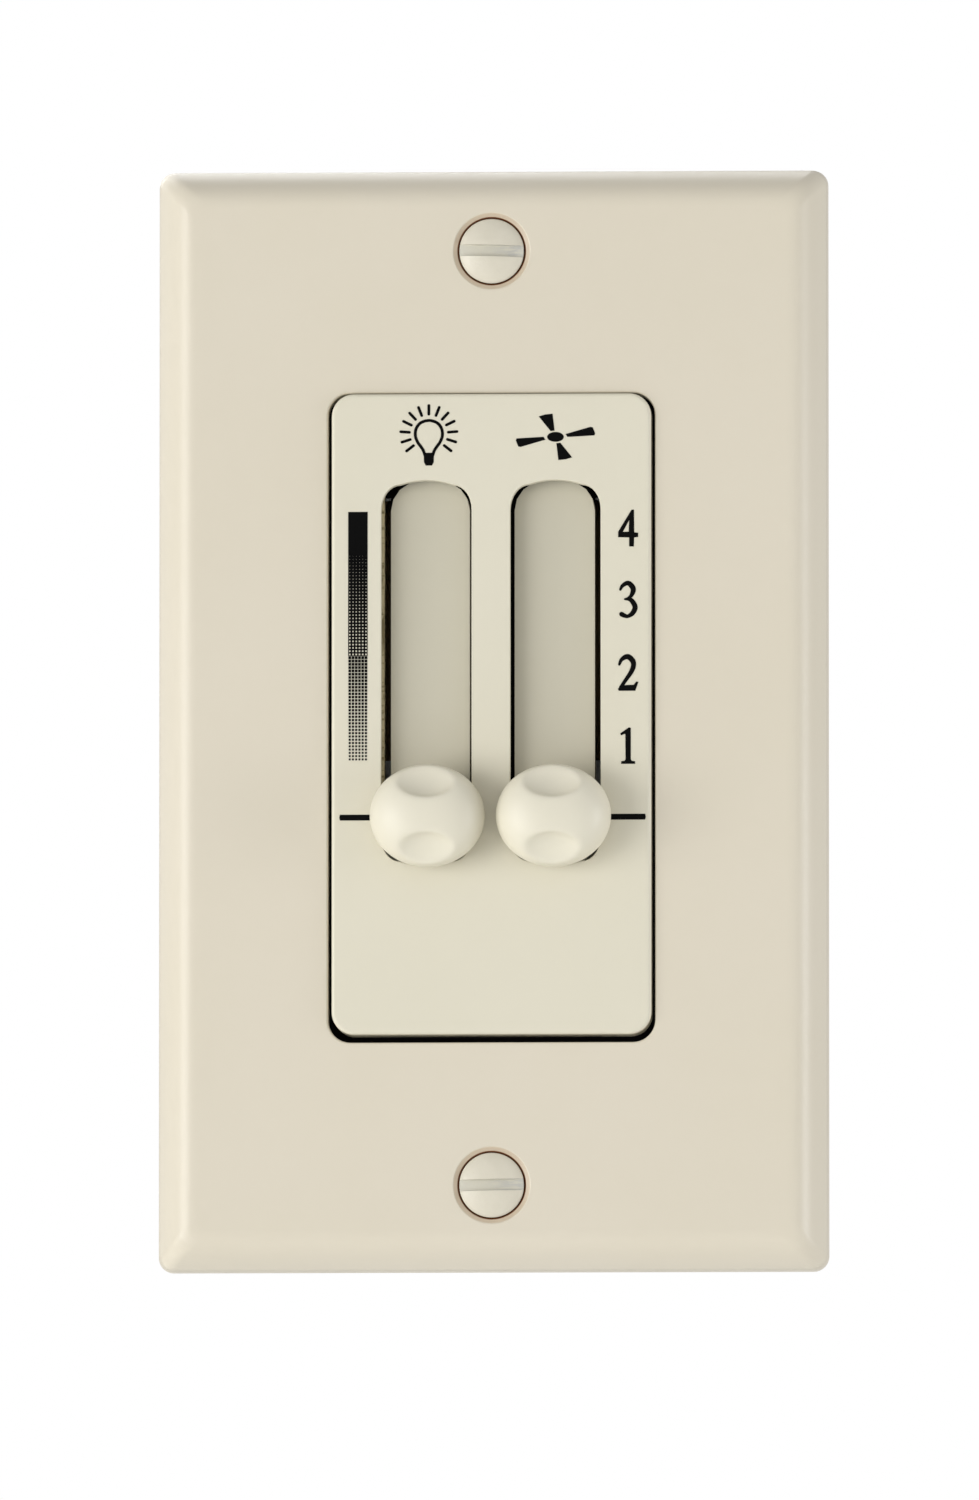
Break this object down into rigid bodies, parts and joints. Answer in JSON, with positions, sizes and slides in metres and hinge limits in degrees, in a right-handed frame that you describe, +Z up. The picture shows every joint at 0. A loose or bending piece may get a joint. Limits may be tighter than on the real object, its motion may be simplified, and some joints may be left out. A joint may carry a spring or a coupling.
{
  "type": "dimmer slide switch",
  "caption": "Wall control with a light dimmer slide beside a fan speed slide, in an ivory wall plate with a slotted insert and round knobs, on a metal strap with a box behind.",
  "frame": {"origin": "middle of the device, midway between the two plate screws, on the plane of the wall", "axes": "+Z up, +X to the right seen from the room, -Y out of the wall towards the room, +Y into the wall box"},
  "size_m": [0.0694, 0.046, 0.1142],
  "materials": {
    "ivory_plastic": "satin",
    "ivory_insert": "satin",
    "ivory_paint": "satin",
    "black_plastic": "matte",
    "white_nylon": "satin",
    "zinc_steel": "satin",
    "bare_aluminium": "satin",
    "red_fibre": "matte",
    "green_screw": "satin",
    "phenolic_board": "matte",
    "spring_bronze": "satin",
    "copper_wire": "gloss",
    "ferrite": "matte",
    "yellow_case": "satin",
    "blue_case": "satin",
    "tan_body": "satin",
    "diode_glass": "gloss",
    "mica": "gloss"
  },
  "bodies": {
    "control_body": {"wall_plate": "ivory_plastic", "plate_screw_top": "ivory_paint", "plate_screw_bottom": "ivory_paint", "face_insert": "ivory_insert", "slot_floor": "ivory_insert", "mounting_strap": "bare_aluminium", "device_screw_top": "zinc_steel", "device_screw_bottom": "zinc_steel", "screw_retainer_top": "red_fibre", "screw_retainer_bottom": "red_fibre", "ground_screw": "green_screw", "rear_housing": "black_plastic", "housing_rivet_top_left": "zinc_steel", "housing_rivet_top_right": "zinc_steel", "housing_rivet_bottom_left": "zinc_steel", "housing_rivet_bottom_right": "zinc_steel", "circuit_board": "phenolic_board", "light_slide_can": "zinc_steel", "light_track_board": "phenolic_board", "fan_slide_can": "zinc_steel", "fan_contact_board": "phenolic_board", "triac": "black_plastic", "triac_insulator": "mica", "triac_rivet": "zinc_steel", "choke_core": "ferrite", "choke_winding": "copper_wire", "fan_capacitor_large": "yellow_case", "fan_capacitor_small": "yellow_case", "filter_capacitor": "blue_case", "timing_capacitor": "blue_case", "diac": "diode_glass", "timing_resistor": "tan_body", "snubber_resistor": "tan_body", "trimmer": "blue_case"},
    "light_slider": {"light_knob": "ivory_plastic", "light_carriage": "white_nylon", "light_wiper": "spring_bronze"},
    "fan_slider": {"fan_knob": "ivory_plastic", "fan_carriage": "white_nylon", "fan_contact_bridge": "spring_bronze", "fan_detent_spring": "spring_bronze"}
  },
  "joints": [
    {"name": "light_slide", "type": "slide", "parent": "control_body", "child": "light_slider", "axis": [0, 0, 1], "range_m": [0, 0.0298]},
    {"name": "fan_slide", "type": "slide", "parent": "control_body", "child": "fan_slider", "axis": [0, 0, 1], "range_m": [0, 0.0298], "deforming": ["fan_detent_spring"]}
  ]
}
